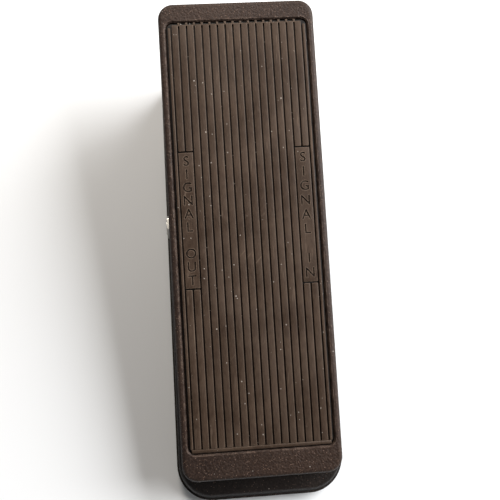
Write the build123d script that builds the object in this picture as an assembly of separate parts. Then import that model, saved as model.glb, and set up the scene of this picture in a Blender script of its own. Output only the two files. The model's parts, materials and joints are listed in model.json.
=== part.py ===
from build123d import *
import os
from math import acos, cos, pi, radians, sin, tan

# Foot volume pedal. Millimetres. +X is the input side, +Y is the toe end, +Z is up.
# The origin is the middle of the footprint, on the floor. The treadle is at rest, heel down.

# ---- overall sizes ----
base_length = 255.0
base_width = 90.0
treadle_length = 249.0
treadle_width = 82.6
treadle_rise = 26.5       # from the pivot up to the treadle's top face when it is level
treadle_shift = 10.0      # the treadle's middle is this far toward the toe from the pivot

# ---- rocking movement ----
pivot_height = 30.0
heel_down_angle = 13.0    # toe up at rest
toe_down_angle = 8.0

# ---- base housing ----
foot_height = 4.0
base_corner = 19.0
flange_height = 2.5
flange_step = 0.9         # the wall stands in from the flange by this much
side_draft = 3.0
end_draft = 22.0
top_corner_loss = 7.0     # the corners are this much tighter at the height of the pivot ridge
base_wall = 3.4
base_roof = 3.3
shoulder_round = 2.2
roof_slope_limit = 20.0   # faces flatter than this belong to the roof
ridge_round = 12.0
skirt_gap = 1.8           # between the treadle's skirt and the base's roof, at either limit

# ---- base plate, feet and their screws ----
plate_thickness = 1.5
plate_margin = 2.5
plate_fit = 0.3
foot_radius = 8.0
foot_taper = 1.0
foot_x = 31.0
foot_y = 106.0
foot_screw_radius = 2.0
foot_head_radius = 3.8
foot_head_height = 1.8
foot_head_lift = 0.8
foot_screw_depth = 6.0
foot_boss_radius = 4.5

# ---- treadle casting ----
treadle_corner = 8.0
treadle_draft = 1.5
treadle_wall = 3.0
treadle_plate = 3.0
treadle_round = 2.2
skirt_depth = 15.5
skirt_edge_round = 0.7
rib_height = 4.0
rib_width = 2.5
cross_rib_places = [-80.0, -55.0, -28.0, 62.0, 87.0, 112.0]

# ---- tread pad ----
pad_side_border = 4.05    # from each edge of the treadle's top to the pad
pad_toe_border = 10.6
pad_heel_border = 14.4
pad_corner = 3.2
pad_gap = 0.5
pad_recess = 2.8
pad_stand = 0.2           # the ribs stand this far above the treadle's face
pad_lip_bevel = 0.7
groove_count = 18
groove_width = 0.8
groove_depth = 1.2
outer_groove_inset = 2.57 # from the pad's side to the middle of its outermost groove
pad_side_step = 0.8
pad_heel_step = 2.2
panel_heel_end = -16.5
panel_length = 71.5

# ---- pivot ----
pin_radius = 3.0
pin_end_gap = 1.0
lug_inner = 23.0
lug_thickness = 6.0
lug_radius = 7.5
lug_window_gap = 1.0
clip_radius = 5.2
clip_thickness = 0.8
clip_groove = 0.6
clip_gap = 0.3
bearing_start = 31.5
bearing_width = 6.0
bearing_half_length = 7.0
bearing_drop = 5.0
running_fit = 0.05
clamp_thickness = 1.5
clamp_half_length = 15.2
clamp_screw_y = 11.5
clamp_boss_radius = 3.3

# ---- sector rack and pinion ----
gear_module = 0.75
pinion_teeth = 14
gear_ratio = 7
pressure_angle = 25.0
tooth_backlash = 0.12
addendum_share = 1.0
dedendum_share = 1.25
mesh_angle = -13.0        # the line from the pivot to the pinion, measured from +Y
sector_margin = 4.5       # degrees of teeth beyond the travel at each end
sector_thickness = 5.0
sector_depth = 9.0
rack_arm_foot_x = 10.0
rack_arm_foot_y = 7.0
rack_arm_foot_thickness = 2.5
rack_pad_drop = 3.0
rack_screw_x = 6.5
rack_window_gap = 1.5
arm_overlap = 1.0         # the rack's arm starts this far below the end of the teeth
pinion_width = 6.0
hub_radius = 6.0
hub_length = 6.0
set_screw_radius = 1.5
guide_clearance = 0.2
guide_depth = 9.0
guide_height = 8.0

# ---- potentiometer ----
shaft_radius = 3.0
shaft_overhang = 0.5
bushing_radius = 3.5
bushing_length = 6.0
can_radius = 8.0
can_length = 7.5
can_wall = 0.8
front_plate = 1.2
wafer_thickness = 1.5
wafer_tongue = 6.0
wafer_tongue_width = 12.0
terminal_pitch = 4.0
terminal_width = 1.4
terminal_thickness = 0.4
terminal_overhang = 2.0
terminal_inset = 1.0      # from the can to the start of each terminal
wiper_radius = 6.0
wiper_thickness = 1.0
wiper_gap = 0.5
pot_nut_flats = 10.0
pot_nut_height = 2.3
pot_washer_radius = 6.0
pot_washer_height = 0.8

# ---- bracket ----
bracket_x = 8.5
bracket_thickness = 1.5
bracket_heel_y = 16.0
bracket_toe_margin = 5.0
bracket_bottom = 9.0
bracket_drop = 1.0        # from the pivot's height down to the bracket's top
bracket_flange_reach = 14.0
bracket_flange_length = 15.0
bracket_screw_x = 17.0
bracket_screw_ys = [19.5, 27.5]
bracket_roof_gap = 0.5
bracket_boss_radius = 3.5

# ---- small screws ----
screw_radius = 1.5
screw_head_radius = 2.7
screw_head_height = 1.9
screw_grip = 4.5          # thread length in the casting

# ---- jacks ----
jack_y = 24.0
jack_z = 17.5
jack_bore_radius = 3.25
jack_barrel_wall = 1.45
jack_face = 39.0          # inner face of the wall pad that the jack stands on
jack_spot_face = 41.6
jack_spot_margin = 1.5    # the spot face is this much wider than the washer, all round
jack_barrel_end = 44.8
jack_body_length = 20.0
jack_body_width = 15.0
jack_body_height = 14.0
jack_body_wall = 2.0
jack_pad_margin = 1.0
jack_nut_wall = 1.3
jack_nut_height = 2.0
jack_washer_width = 2.3
jack_washer_height = 0.6
contact_width = 4.0
contact_thickness = 0.5
contact_gap = 0.2
contact_tag = 3.5
contact_lead = 3.0

# ---- bumpers ----
bumper_radius = 6.0
bumper_height = 5.0
bumper_pocket = 1.0
bumper_inset = 13.3       # from each edge of the treadle's top to the middle of a bumper
heel_bumper_y = -95.0
toe_bumper_y = 100.0
bumper_gap = 0.3
bumper_boss_radius = 5.0

# ---- hook-up wire ----
wire_radius = 0.7
wire_bend_share = 0.45
wire_floor_gap = 1.6
wire_lane_gap = 1.4
wire_tag_spacing = 1.0

# ---- worked out from the above ----
rim_z = foot_height
flange_top = rim_z + flange_height
plate_top = rim_z + plate_thickness
treadle_top = pivot_height + treadle_rise
skirt_bottom = treadle_top - skirt_depth
roof_offset = skirt_bottom - pivot_height - skirt_gap
ceiling_offset = roof_offset - base_roof
ridge_z = pivot_height + roof_offset / cos(radians(heel_down_angle))
recess_floor = treadle_top - pad_recess
treadle_underside = recess_floor - treadle_plate
pad_width = treadle_width - 2 * pad_side_border
pad_length = treadle_length - pad_heel_border - pad_toe_border
groove_pitch = (pad_width - 2 * outer_groove_inset) / (groove_count - 1)
pinion_pitch_radius = gear_module * pinion_teeth / 2
sector_pitch_radius = pinion_pitch_radius * gear_ratio
sector_tip_radius = sector_pitch_radius + gear_module * addendum_share
sector_inner_radius = sector_tip_radius - sector_depth
centre_distance = sector_pitch_radius + pinion_pitch_radius
pinion_y = centre_distance * cos(radians(mesh_angle))
pinion_z = pivot_height + centre_distance * sin(radians(mesh_angle))
pin_half_length = jack_face - pin_end_gap
bracket_top = pivot_height - bracket_drop
bumper_x = treadle_width / 2 - bumper_inset
jack_barrel_radius = jack_bore_radius + jack_barrel_wall
jack_washer_radius = jack_barrel_radius + jack_washer_width
jack_spot_radius = jack_washer_radius + jack_spot_margin
jack_nut_flats = 2 * (jack_barrel_radius + jack_nut_wall)
pivot_axis = Axis((0, 0, pivot_height), (1, 0, 0))
heel_roof = Plane(
    origin=(0, 0, pivot_height), x_dir=(1, 0, 0),
    z_dir=(0, -sin(radians(heel_down_angle)), cos(radians(heel_down_angle))),
).offset(roof_offset)
toe_roof = Plane(
    origin=(0, 0, pivot_height), x_dir=(1, 0, 0),
    z_dir=(0, sin(radians(toe_down_angle)), cos(radians(toe_down_angle))),
).offset(roof_offset)


def block(x0, x1, y0, y1, z0, z1):
    """A box between two corners."""
    middle = Pos((x0 + x1) / 2, (y0 + y1) / 2, (z0 + z1) / 2)
    return middle * Box(x1 - x0, y1 - y0, z1 - z0)


def across(x, y, z):
    """A plane square to X whose own axes are +Y and +Z."""
    return Plane(origin=(x, y, z), x_dir=(0, 1, 0), z_dir=(1, 0, 0))


def rod_x(radius, x0, x1, y, z):
    """A round bar along X."""
    return extrude(across(x0, y, z) * Circle(radius), x1 - x0)


def rod_z(radius, x, y, z0, z1):
    """A round bar along Z."""
    return extrude(Plane(origin=(x, y, z0)) * Circle(radius), z1 - z0)


def hex_x(flats, x0, x1, y, z):
    """A hexagonal bar along X."""
    outline = RegularPolygon(flats / 2, 6, major_radius=False)
    return extrude(across(x0, y, z) * outline, x1 - x0)


def drafted(width, length, corner, z0, z1, draft_x, draft_y, corner_loss, shift=0.0):
    """A block with a rounded outline, whose sides and ends lean in as they rise."""
    rise = z1 - z0
    top_width = width - 2 * rise * tan(radians(draft_x))
    top_length = length - 2 * rise * tan(radians(draft_y))
    low = Pos(0, shift, z0) * RectangleRounded(width, length, corner)
    high = Pos(0, shift, z1) * RectangleRounded(top_width, top_length, corner - corner_loss)
    return loft([low, high], ruled=True)


def under(shape, plane):
    """What is left of a shape below a plane."""
    return split(shape, bisect_by=plane, keep=Keep.BOTTOM)


def tilted(shape):
    """Turns a piece of the level treadle to its rest angle, heel down."""
    return shape.rotate(pivot_axis, heel_down_angle)


def both_sides(piece):
    """A piece and its twin on the other side."""
    return [piece, piece.mirror(Plane.YZ)]


# ---- toothed outlines ----

def involute(angle):
    """The involute function of an angle in radians."""
    return tan(angle) - angle


def tooth_flank(teeth, steps=5):
    """Radius and half angle of a tooth, from its root to its tip."""
    pitch_radius = gear_module * teeth / 2
    pressure = radians(pressure_angle)
    base_radius = pitch_radius * cos(pressure)
    root_radius = pitch_radius - gear_module * dedendum_share
    tip_radius = pitch_radius + gear_module * addendum_share
    pitch_half_angle = pi / (2 * teeth) - tooth_backlash / (4 * pitch_radius)
    start_radius = max(base_radius, root_radius)
    flank = []
    if root_radius < base_radius:
        flank.append((root_radius, pitch_half_angle + involute(pressure)))
    for step in range(steps + 1):
        radius = start_radius + (tip_radius - start_radius) * step / steps
        half_angle = pitch_half_angle + involute(pressure) - involute(acos(base_radius / radius))
        flank.append((radius, half_angle))
    return flank


def tooth_points(teeth, centre_angle):
    """The outline of one tooth about the origin, anticlockwise, as points."""
    flank = tooth_flank(teeth)
    rising = [(radius, centre_angle - half_angle) for radius, half_angle in flank]
    falling = [(radius, centre_angle + half_angle) for radius, half_angle in reversed(flank)]
    return [(radius * cos(angle), radius * sin(angle)) for radius, angle in rising + falling]


# ---- base ----

def base_outside():
    """The housing as a filled form: flange, leaning walls and the two slopes of the roof."""
    flange = extrude(Pos(0, 0, rim_z) * RectangleRounded(base_width, base_length, base_corner),
                     flange_height)
    upper = drafted(
        base_width - 2 * flange_step, base_length - 2 * flange_step, base_corner - flange_step,
        flange_top, ridge_z + base_roof, side_draft, end_draft, top_corner_loss)
    upper = under(under(upper, heel_roof), toe_roof)
    ridge = upper.edges().filter_by(Axis.X).sort_by(Axis.Z)[-1]
    upper = fillet(ridge, ridge_round)
    roof_faces = upper.faces().filter_by(lambda face: face.normal_at().Z > cos(radians(roof_slope_limit)))
    shoulder = [edge for edge in roof_faces.edges()
                if abs(edge.center().X) > base_width / 4 or abs(edge.center().Y) > base_length / 4]
    upper = fillet(shoulder, shoulder_round)
    return flange + upper


def base_inside():
    """The space in the housing, open below."""
    inner_width = base_width - 2 * (flange_step + base_wall)
    inner_length = base_length - 2 * (flange_step + base_wall)
    corner = base_corner - flange_step - base_wall
    space = drafted(inner_width, inner_length, corner, plate_top, ridge_z + base_roof,
                    side_draft, end_draft, top_corner_loss)
    space = under(under(space, heel_roof.offset(-base_roof)), toe_roof.offset(-base_roof))
    rebate_width = base_width - 2 * (plate_margin - plate_fit)
    rebate_length = base_length - 2 * (plate_margin - plate_fit)
    rebate_corner = base_corner - plate_margin + plate_fit
    rebate = extrude(
        Pos(0, 0, rim_z) * RectangleRounded(rebate_width, rebate_length, rebate_corner),
        plate_thickness)
    return space + rebate


def foot_places():
    """The four corners where a foot and its screw sit."""
    return [(x, y) for x in (-foot_x, foot_x) for y in (-foot_y, foot_y)]


def base_housing():
    """The cast housing with its bosses, windows, spot faces and screw holes."""
    outside = base_outside()
    bosses = [rod_z(foot_boss_radius, x, y, plate_top, ridge_z) for x, y in foot_places()]
    clamp_x = bearing_start + bearing_width / 2
    for x in (-clamp_x, clamp_x):
        for y in (-clamp_screw_y, clamp_screw_y):
            bosses.append(rod_z(clamp_boss_radius, x, y, pivot_height - bearing_drop, ridge_z))
    for y in bracket_screw_ys:
        bosses.append(rod_z(bracket_boss_radius, bracket_screw_x, y, bracket_top, ridge_z))
    half_width = jack_body_width / 2 + jack_pad_margin
    half_height = jack_body_height / 2 + jack_pad_margin
    bosses += both_sides(block(
        jack_face, base_width / 2, jack_y - half_width, jack_y + half_width,
        jack_z - half_height, jack_z + half_height))
    housing = outside - base_inside()
    for boss in bosses:
        housing += boss & outside

    # windows in the roof for the treadle's lugs and for the sector rack
    window = block(
        lug_inner - lug_window_gap, lug_inner + lug_thickness + lug_window_gap,
        -lug_radius - 2 * lug_window_gap, lug_radius + 2 * lug_window_gap,
        pivot_height, ridge_z + base_roof)
    for cut in both_sides(window):
        housing -= cut
    half_slot = sector_thickness / 2 + rack_window_gap
    housing -= block(
        -half_slot, half_slot, sector_inner_radius - rack_window_gap,
        sector_tip_radius + rack_window_gap, pivot_height - base_roof, ridge_z)

    # bumper pockets
    for plane, y in ((heel_roof, heel_bumper_y), (toe_roof, toe_bumper_y)):
        for x in (-bumper_x, bumper_x):
            housing -= extrude(plane * Pos(x, y, 0) * Circle(bumper_radius), -bumper_pocket)

    # screw holes
    for x, y in foot_places():
        housing -= rod_z(foot_screw_radius, x, y, plate_top, plate_top + foot_screw_depth)
    clamp_bottom = pivot_height - bearing_drop
    for x in (-clamp_x, clamp_x):
        for y in (-clamp_screw_y, clamp_screw_y):
            housing -= rod_z(screw_radius, x, y, clamp_bottom, clamp_bottom + screw_grip)
    for y in bracket_screw_ys:
        housing -= rod_z(screw_radius, bracket_screw_x, y, bracket_top, bracket_top + screw_grip)

    # jack holes, spot faced outside
    hole = rod_x(jack_barrel_radius, jack_face, base_width, jack_y, jack_z)
    spot = rod_x(jack_spot_radius, jack_spot_face, base_width, jack_y, jack_z)
    for cut in both_sides(hole + spot):
        housing -= cut
    return housing


def base_plate():
    """The steel sheet that closes the housing from below."""
    plate = extrude(
        Pos(0, 0, rim_z) * RectangleRounded(
            base_width - 2 * plate_margin, base_length - 2 * plate_margin,
            base_corner - plate_margin),
        plate_thickness)
    for x, y in foot_places():
        plate -= rod_z(foot_screw_radius, x, y, rim_z, plate_top)
    return plate


def rubber_feet():
    """Four round feet, each narrower at the floor and sunk for its screw head."""
    feet = []
    for x, y in foot_places():
        foot = Pos(x, y, rim_z / 2) * Cone(foot_radius - foot_taper, foot_radius, rim_z)
        head_top = foot_head_lift + foot_head_height
        foot -= rod_z(foot_head_radius, x, y, 0, head_top)
        foot -= rod_z(foot_screw_radius, x, y, 0, rim_z)
        feet.append(foot)
    return feet


def foot_screws():
    """Screws that hold feet and plate to the housing."""
    screws = []
    for x, y in foot_places():
        head_top = foot_head_lift + foot_head_height
        head = rod_z(foot_head_radius, x, y, foot_head_lift, head_top)
        shank = rod_z(foot_screw_radius, x, y, head_top, plate_top + foot_screw_depth)
        recess = rod_z(foot_screw_radius / 2, x, y, foot_head_lift,
                       foot_head_lift + foot_head_height / 2)
        screws.append(head + shank - recess)
    return screws


# ---- treadle ----

def treadle():
    """The cast treadle: top with its pad recess, skirt, ribs, pivot lugs and bosses."""
    skirt_width = treadle_width + 2 * skirt_depth * tan(radians(treadle_draft))
    skirt_length = treadle_length + 2 * skirt_depth * tan(radians(treadle_draft))
    body = drafted(skirt_width, skirt_length, treadle_corner, skirt_bottom, treadle_top,
                   treadle_draft, treadle_draft, 0.0, treadle_shift)
    body = fillet(body.faces().sort_by(Axis.Z)[-1].edges(), treadle_round)
    body = fillet(body.faces().sort_by(Axis.Z)[0].edges(), skirt_edge_round)
    hollow = drafted(
        skirt_width - 2 * treadle_wall, skirt_length - 2 * treadle_wall,
        treadle_corner - treadle_wall, skirt_bottom, treadle_underside,
        treadle_draft, treadle_draft, 0.0, treadle_shift)
    filled = body
    body = body - hollow

    # stiffening ribs under the plate
    lug_middle = lug_inner + lug_thickness / 2
    reach = treadle_length / 2
    ribs = both_sides(block(
        lug_middle - rib_width / 2, lug_middle + rib_width / 2,
        treadle_shift - reach, treadle_shift + reach,
        treadle_underside - rib_height, treadle_underside))
    for y in cross_rib_places:
        ribs.append(block(
            -treadle_width / 2, treadle_width / 2, y - rib_width / 2, y + rib_width / 2,
            treadle_underside - rib_height, treadle_underside))
    for rib in ribs:
        body += rib & filled

    # pivot lugs, rounded about the pin
    lug = block(lug_inner, lug_inner + lug_thickness, -lug_radius, lug_radius,
                pivot_height, treadle_underside)
    lug += rod_x(lug_radius, lug_inner, lug_inner + lug_thickness, 0, pivot_height)
    for piece in both_sides(lug):
        body += piece

    # seat for the rack, and the bosses that meet the bumpers
    rack_y = (sector_inner_radius + sector_tip_radius) / 2
    body += block(
        -rack_arm_foot_x, rack_arm_foot_x, rack_y - rack_arm_foot_y, rack_y + rack_arm_foot_y,
        treadle_underside - rack_pad_drop, treadle_underside)
    boss_bottom = (pivot_height + roof_offset - bumper_pocket + bumper_height + bumper_gap)
    for y in (heel_bumper_y, toe_bumper_y):
        for x in (-bumper_x, bumper_x):
            body += rod_z(bumper_boss_radius, x, y, boss_bottom, treadle_underside)

    # pad recess with a bevelled lip
    pad_middle = treadle_shift - treadle_length / 2 + pad_heel_border + pad_length / 2
    recess = extrude(
        Pos(0, pad_middle, recess_floor) * RectangleRounded(
            pad_width + 2 * pad_gap, pad_length + 2 * pad_gap, pad_corner + pad_gap),
        pad_recess)
    body -= recess
    top_face = body.faces().filter_by(Axis.Z).sort_by(Axis.Z)[-1]
    body = chamfer(top_face.inner_wires()[0].edges(), pad_lip_bevel)

    # holes for the pin and the rack screws
    body -= rod_x(pin_radius, -base_width, base_width, 0, pivot_height)
    for x in (-rack_screw_x, rack_screw_x):
        seat = treadle_underside - rack_pad_drop
        body -= rod_z(screw_radius, x, rack_y, seat, seat + screw_grip)
    return body


def tread_pad():
    """The rubber mat: a sheet with long ribs, and a plain label panel near each side."""
    heel_end = treadle_shift - treadle_length / 2 + pad_heel_border
    toe_end = heel_end + pad_length
    rib_top = treadle_top + pad_stand
    sheet_top = rib_top - groove_depth
    sheet = extrude(
        Pos(0, (heel_end + toe_end) / 2, recess_floor) * RectangleRounded(
            pad_width, pad_length, pad_corner),
        sheet_top - recess_floor)
    half_width = pad_width / 2 - pad_side_step
    raised = block(-half_width, half_width, heel_end + pad_heel_step, toe_end,
                   recess_floor, rib_top)
    raised &= extrude(sheet.faces().sort_by(Axis.Z)[-1], groove_depth)
    pad = sheet + raised
    panel_toe_end = panel_heel_end + panel_length
    panel_grooves = (1, groove_count - 2)
    for index in range(groove_count):
        x = (index - (groove_count - 1) / 2) * groove_pitch
        spans = [(heel_end, toe_end)]
        if index in panel_grooves:
            spans = [(heel_end, panel_heel_end), (panel_toe_end, toe_end)]
        for start, end in spans:
            pad -= block(x - groove_width / 2, x + groove_width / 2, start, end,
                         sheet_top, rib_top)
    for index in panel_grooves:
        x = (index - (groove_count - 1) / 2) * groove_pitch
        for y in (panel_heel_end, panel_toe_end):
            pad -= block(x - groove_pitch, x + groove_pitch,
                         y - groove_width / 2, y + groove_width / 2, sheet_top, rib_top)
    return pad


# ---- pivot pieces ----

def clip_start():
    """Where each retaining clip begins, outside its lug."""
    return lug_inner + lug_thickness + clip_gap


def pivot_pin():
    """The steel pin, grooved for its clips."""
    pin = rod_x(pin_radius, -pin_half_length, pin_half_length, 0, pivot_height)
    groove = rod_x(pin_radius, clip_start(), clip_start() + clip_thickness, 0, pivot_height)
    groove -= rod_x(pin_radius - clip_groove, clip_start(), clip_start() + clip_thickness,
                    0, pivot_height)
    for cut in both_sides(groove):
        pin -= cut
    return pin


def pin_clips():
    """Two spring clips, open on one side, that stop the pin from walking."""
    clip = rod_x(clip_radius, clip_start(), clip_start() + clip_thickness, 0, pivot_height)
    inner_radius = pin_radius - clip_groove
    clip -= rod_x(inner_radius, clip_start(), clip_start() + clip_thickness, 0, pivot_height)
    clip -= block(clip_start(), clip_start() + clip_thickness,
                  -inner_radius, inner_radius, pivot_height, pivot_height + clip_radius)
    return both_sides(clip)


def bearing():
    """The nylon block on the +X side, trimmed to the two slopes of the ceiling."""
    nylon = block(bearing_start, bearing_start + bearing_width,
                  -bearing_half_length, bearing_half_length,
                  pivot_height - bearing_drop, ridge_z)
    nylon = under(nylon, heel_roof.offset(-base_roof))
    nylon = under(nylon, toe_roof.offset(-base_roof))
    return nylon - rod_x(pin_radius + running_fit, 0, base_width, 0, pivot_height)


def bearing_clamps():
    """Two steel straps that hold the bearing blocks up against the ceiling."""
    bottom = pivot_height - bearing_drop
    clamp = block(bearing_start, bearing_start + bearing_width,
                  -clamp_half_length, clamp_half_length, bottom - clamp_thickness, bottom)
    for y in (-clamp_screw_y, clamp_screw_y):
        clamp -= rod_z(screw_radius, bearing_start + bearing_width / 2, y,
                       bottom - clamp_thickness, bottom)
    return both_sides(clamp)


def screw_up(x, y, head_top, length):
    """A pan-head screw that points up, with a slot under its head."""
    head = rod_z(screw_head_radius, x, y, head_top - screw_head_height, head_top)
    shank = rod_z(screw_radius, x, y, head_top, head_top + length)
    slot = block(x - screw_radius / 4, x + screw_radius / 4,
                 y - screw_head_radius, y + screw_head_radius,
                 head_top - screw_head_height, head_top - screw_head_height / 2)
    return head + shank - slot


def clamp_screws():
    """Four screws for the two straps."""
    bottom = pivot_height - bearing_drop - clamp_thickness
    clamp_x = bearing_start + bearing_width / 2
    return [screw_up(x, y, bottom, clamp_thickness + screw_grip)
            for x in (-clamp_x, clamp_x) for y in (-clamp_screw_y, clamp_screw_y)]


# ---- sector rack, pinion and guide ----

def sector_rack():
    """The toothed sector that hangs from the treadle, in the treadle's level position."""
    low = mesh_angle - heel_down_angle - sector_margin
    high = mesh_angle + toe_down_angle + sector_margin
    teeth = pinion_teeth * gear_ratio
    pitch_angle = 2 * pi / teeth
    middle = radians(mesh_angle - heel_down_angle)
    first = -int((middle - radians(low)) / pitch_angle)
    last = int((radians(high) - middle) / pitch_angle)
    outline = []
    for number in range(first, last + 1):
        outline += tooth_points(teeth, middle + number * pitch_angle)
    start_angle = middle + (first - 0.5) * pitch_angle
    end_angle = middle + (last + 0.5) * pitch_angle
    root_radius = sector_pitch_radius - gear_module * dedendum_share
    outline.insert(0, (root_radius * cos(start_angle), root_radius * sin(start_angle)))
    outline.append((root_radius * cos(end_angle), root_radius * sin(end_angle)))

    # the inner edge is an arc about the pivot
    inner_end = (sector_inner_radius * cos(end_angle), sector_inner_radius * sin(end_angle))
    inner_start = (sector_inner_radius * cos(start_angle), sector_inner_radius * sin(start_angle))
    inner_middle_angle = (start_angle + end_angle) / 2
    inner_middle = (sector_inner_radius * cos(inner_middle_angle),
                    sector_inner_radius * sin(inner_middle_angle))
    edges = [Polyline(*outline), Line(outline[-1], inner_end),
             ThreePointArc(inner_end, inner_middle, inner_start), Line(inner_start, outline[0])]
    face = make_face(Curve() + edges)
    plane = across(-sector_thickness / 2, 0, pivot_height)
    sector = extrude(plane * face, sector_thickness)

    # the arm rises from the end of the teeth to a foot under the treadle
    seat = treadle_underside - rack_pad_drop
    arm_bottom = pivot_height + root_radius * sin(end_angle)
    arm = block(-sector_thickness / 2, sector_thickness / 2, inner_end[0],
                root_radius * cos(end_angle), arm_bottom - arm_overlap, seat)
    rack_y = (sector_inner_radius + sector_tip_radius) / 2
    foot = block(-rack_arm_foot_x, rack_arm_foot_x,
                 rack_y - rack_arm_foot_y, rack_y + rack_arm_foot_y,
                 seat - rack_arm_foot_thickness, seat)
    rack = sector + arm + foot
    for x in (-rack_screw_x, rack_screw_x):
        rack -= rod_z(screw_radius, x, rack_y, seat - rack_arm_foot_thickness, seat)
    return rack


def rack_screws():
    """Two screws that hold the rack's foot under the treadle, in its level position."""
    rack_y = (sector_inner_radius + sector_tip_radius) / 2
    head_top = treadle_underside - rack_pad_drop - rack_arm_foot_thickness
    return [screw_up(x, rack_y, head_top, rack_arm_foot_thickness + screw_grip)
            for x in (-rack_screw_x, rack_screw_x)]


def pinion():
    """The small gear on the potentiometer's shaft, with a hub for its set screw."""
    outline = []
    facing_sector = radians(mesh_angle + 180)
    pitch_angle = 2 * pi / pinion_teeth
    for number in range(pinion_teeth):
        outline += tooth_points(pinion_teeth, facing_sector + (number + 0.5) * pitch_angle)
    face = make_face(Polyline(*outline, close=True))
    gear = extrude(across(-pinion_width / 2, pinion_y, pinion_z) * face, pinion_width)
    hub_start = -pinion_width / 2 - hub_length
    gear += rod_x(hub_radius, hub_start, -pinion_width / 2, pinion_y, pinion_z)
    gear -= rod_x(shaft_radius, hub_start, pinion_width / 2, pinion_y, pinion_z)
    hub_middle = hub_start + hub_length / 2
    gear -= rod_z(set_screw_radius, hub_middle, pinion_y, pinion_z, pinion_z + hub_radius)
    return gear


def pinion_set_screw():
    """The grub screw that locks the hub to the shaft."""
    x = -pinion_width / 2 - hub_length / 2
    screw = rod_z(set_screw_radius, x, pinion_y, pinion_z, pinion_z + hub_radius)
    screw -= rod_x(shaft_radius, x - hub_length, x + hub_length, pinion_y, pinion_z)
    return screw


def guide_place():
    """Middle of the rack guide, close behind the sector."""
    y = sector_inner_radius * cos(radians(mesh_angle)) - guide_depth / 2
    z = pivot_height + sector_inner_radius * sin(radians(mesh_angle))
    return y, z


def rack_guide():
    """The nylon shoe behind the sector that keeps its teeth in mesh."""
    y, z = guide_place()
    shoe = block(-sector_thickness / 2, bracket_x, y - guide_depth / 2, y + guide_depth,
                 z - guide_height / 2, z + guide_height / 2)
    shoe &= rod_x(sector_inner_radius - guide_clearance, -base_width, base_width,
                  0, pivot_height)
    shoe -= rod_x(screw_radius, bracket_x - screw_grip, bracket_x, y, z)
    return shoe


def guide_screw():
    """The screw that holds the guide to the bracket."""
    y, z = guide_place()
    head_start = bracket_x + bracket_thickness
    screw = rod_x(screw_radius, bracket_x - screw_grip, head_start, y, z)
    screw += rod_x(screw_head_radius, head_start, head_start + screw_head_height, y, z)
    screw -= block(head_start + screw_head_height / 2, head_start + screw_head_height,
                   y - screw_head_radius, y + screw_head_radius,
                   z - screw_radius / 4, z + screw_radius / 4)
    return screw


# ---- potentiometer and bracket ----

pot_face = bracket_x + bracket_thickness
wafer_start = pot_face + front_plate
can_end = wafer_start + can_length


def pot_shaft():
    """The shaft from the pinion's hub to the wiper."""
    start = -pinion_width / 2 - hub_length - shaft_overhang
    end = wafer_start + wafer_thickness + wiper_gap + wiper_thickness
    return rod_x(shaft_radius, start, end, pinion_y, pinion_z)


def pot_wiper():
    """The disc that carries the sliding contact, on the shaft's end."""
    start = wafer_start + wafer_thickness + wiper_gap
    end = start + wiper_thickness
    disc = rod_x(wiper_radius, start, end, pinion_y, pinion_z)
    return disc - rod_x(shaft_radius, start, end, pinion_y, pinion_z)


def pot_bushing():
    """The threaded bushing and the front plate behind it."""
    piece = rod_x(bushing_radius, pot_face - bushing_length, pot_face, pinion_y, pinion_z)
    piece += rod_x(can_radius, pot_face, wafer_start, pinion_y, pinion_z)
    return piece - rod_x(shaft_radius + running_fit, pot_face - bushing_length, wafer_start,
                         pinion_y, pinion_z)


def wafer_tongue_block(clearance):
    """The part of the wafer that comes out of the can, toward the toe."""
    half_width = wafer_tongue_width / 2 + clearance
    return block(wafer_start, wafer_start + wafer_thickness + clearance,
                 pinion_y, pinion_y + can_radius + wafer_tongue,
                 pinion_z - half_width, pinion_z + half_width)


def pot_wafer():
    """The insulating plate with the track, and its tongue for the terminals."""
    wafer = rod_x(can_radius - can_wall, wafer_start, wafer_start + wafer_thickness,
                  pinion_y, pinion_z)
    wafer += wafer_tongue_block(0)
    return wafer - rod_x(shaft_radius + wiper_gap, wafer_start, wafer_start + wafer_thickness,
                         pinion_y, pinion_z)


def pot_can():
    """The metal cup that covers the track and the wiper."""
    can = rod_x(can_radius, wafer_start, can_end, pinion_y, pinion_z)
    can -= rod_x(can_radius - can_wall, wafer_start, can_end - can_wall, pinion_y, pinion_z)
    return can - wafer_tongue_block(wiper_gap)


def terminal_heights():
    """Height of each of the three terminals."""
    return [pinion_z + step * terminal_pitch for step in (-1, 0, 1)]


def pot_terminals():
    """Three solder tags on the wafer's tongue."""
    start = wafer_start + wafer_thickness
    return [block(start, start + terminal_thickness,
                  pinion_y + can_radius + terminal_inset,
                  pinion_y + can_radius + wafer_tongue + terminal_overhang,
                  z - terminal_width / 2, z + terminal_width / 2)
            for z in terminal_heights()]


def pot_washer():
    """The washer between nut and bracket."""
    ring = rod_x(pot_washer_radius, bracket_x - pot_washer_height, bracket_x, pinion_y, pinion_z)
    return ring - rod_x(bushing_radius, bracket_x - pot_washer_height, bracket_x,
                        pinion_y, pinion_z)


def pot_nut():
    """The nut that holds the potentiometer to the bracket."""
    end = bracket_x - pot_washer_height
    nut = hex_x(pot_nut_flats, end - pot_nut_height, end, pinion_y, pinion_z)
    return nut - rod_x(bushing_radius, end - pot_nut_height, end, pinion_y, pinion_z)


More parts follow.
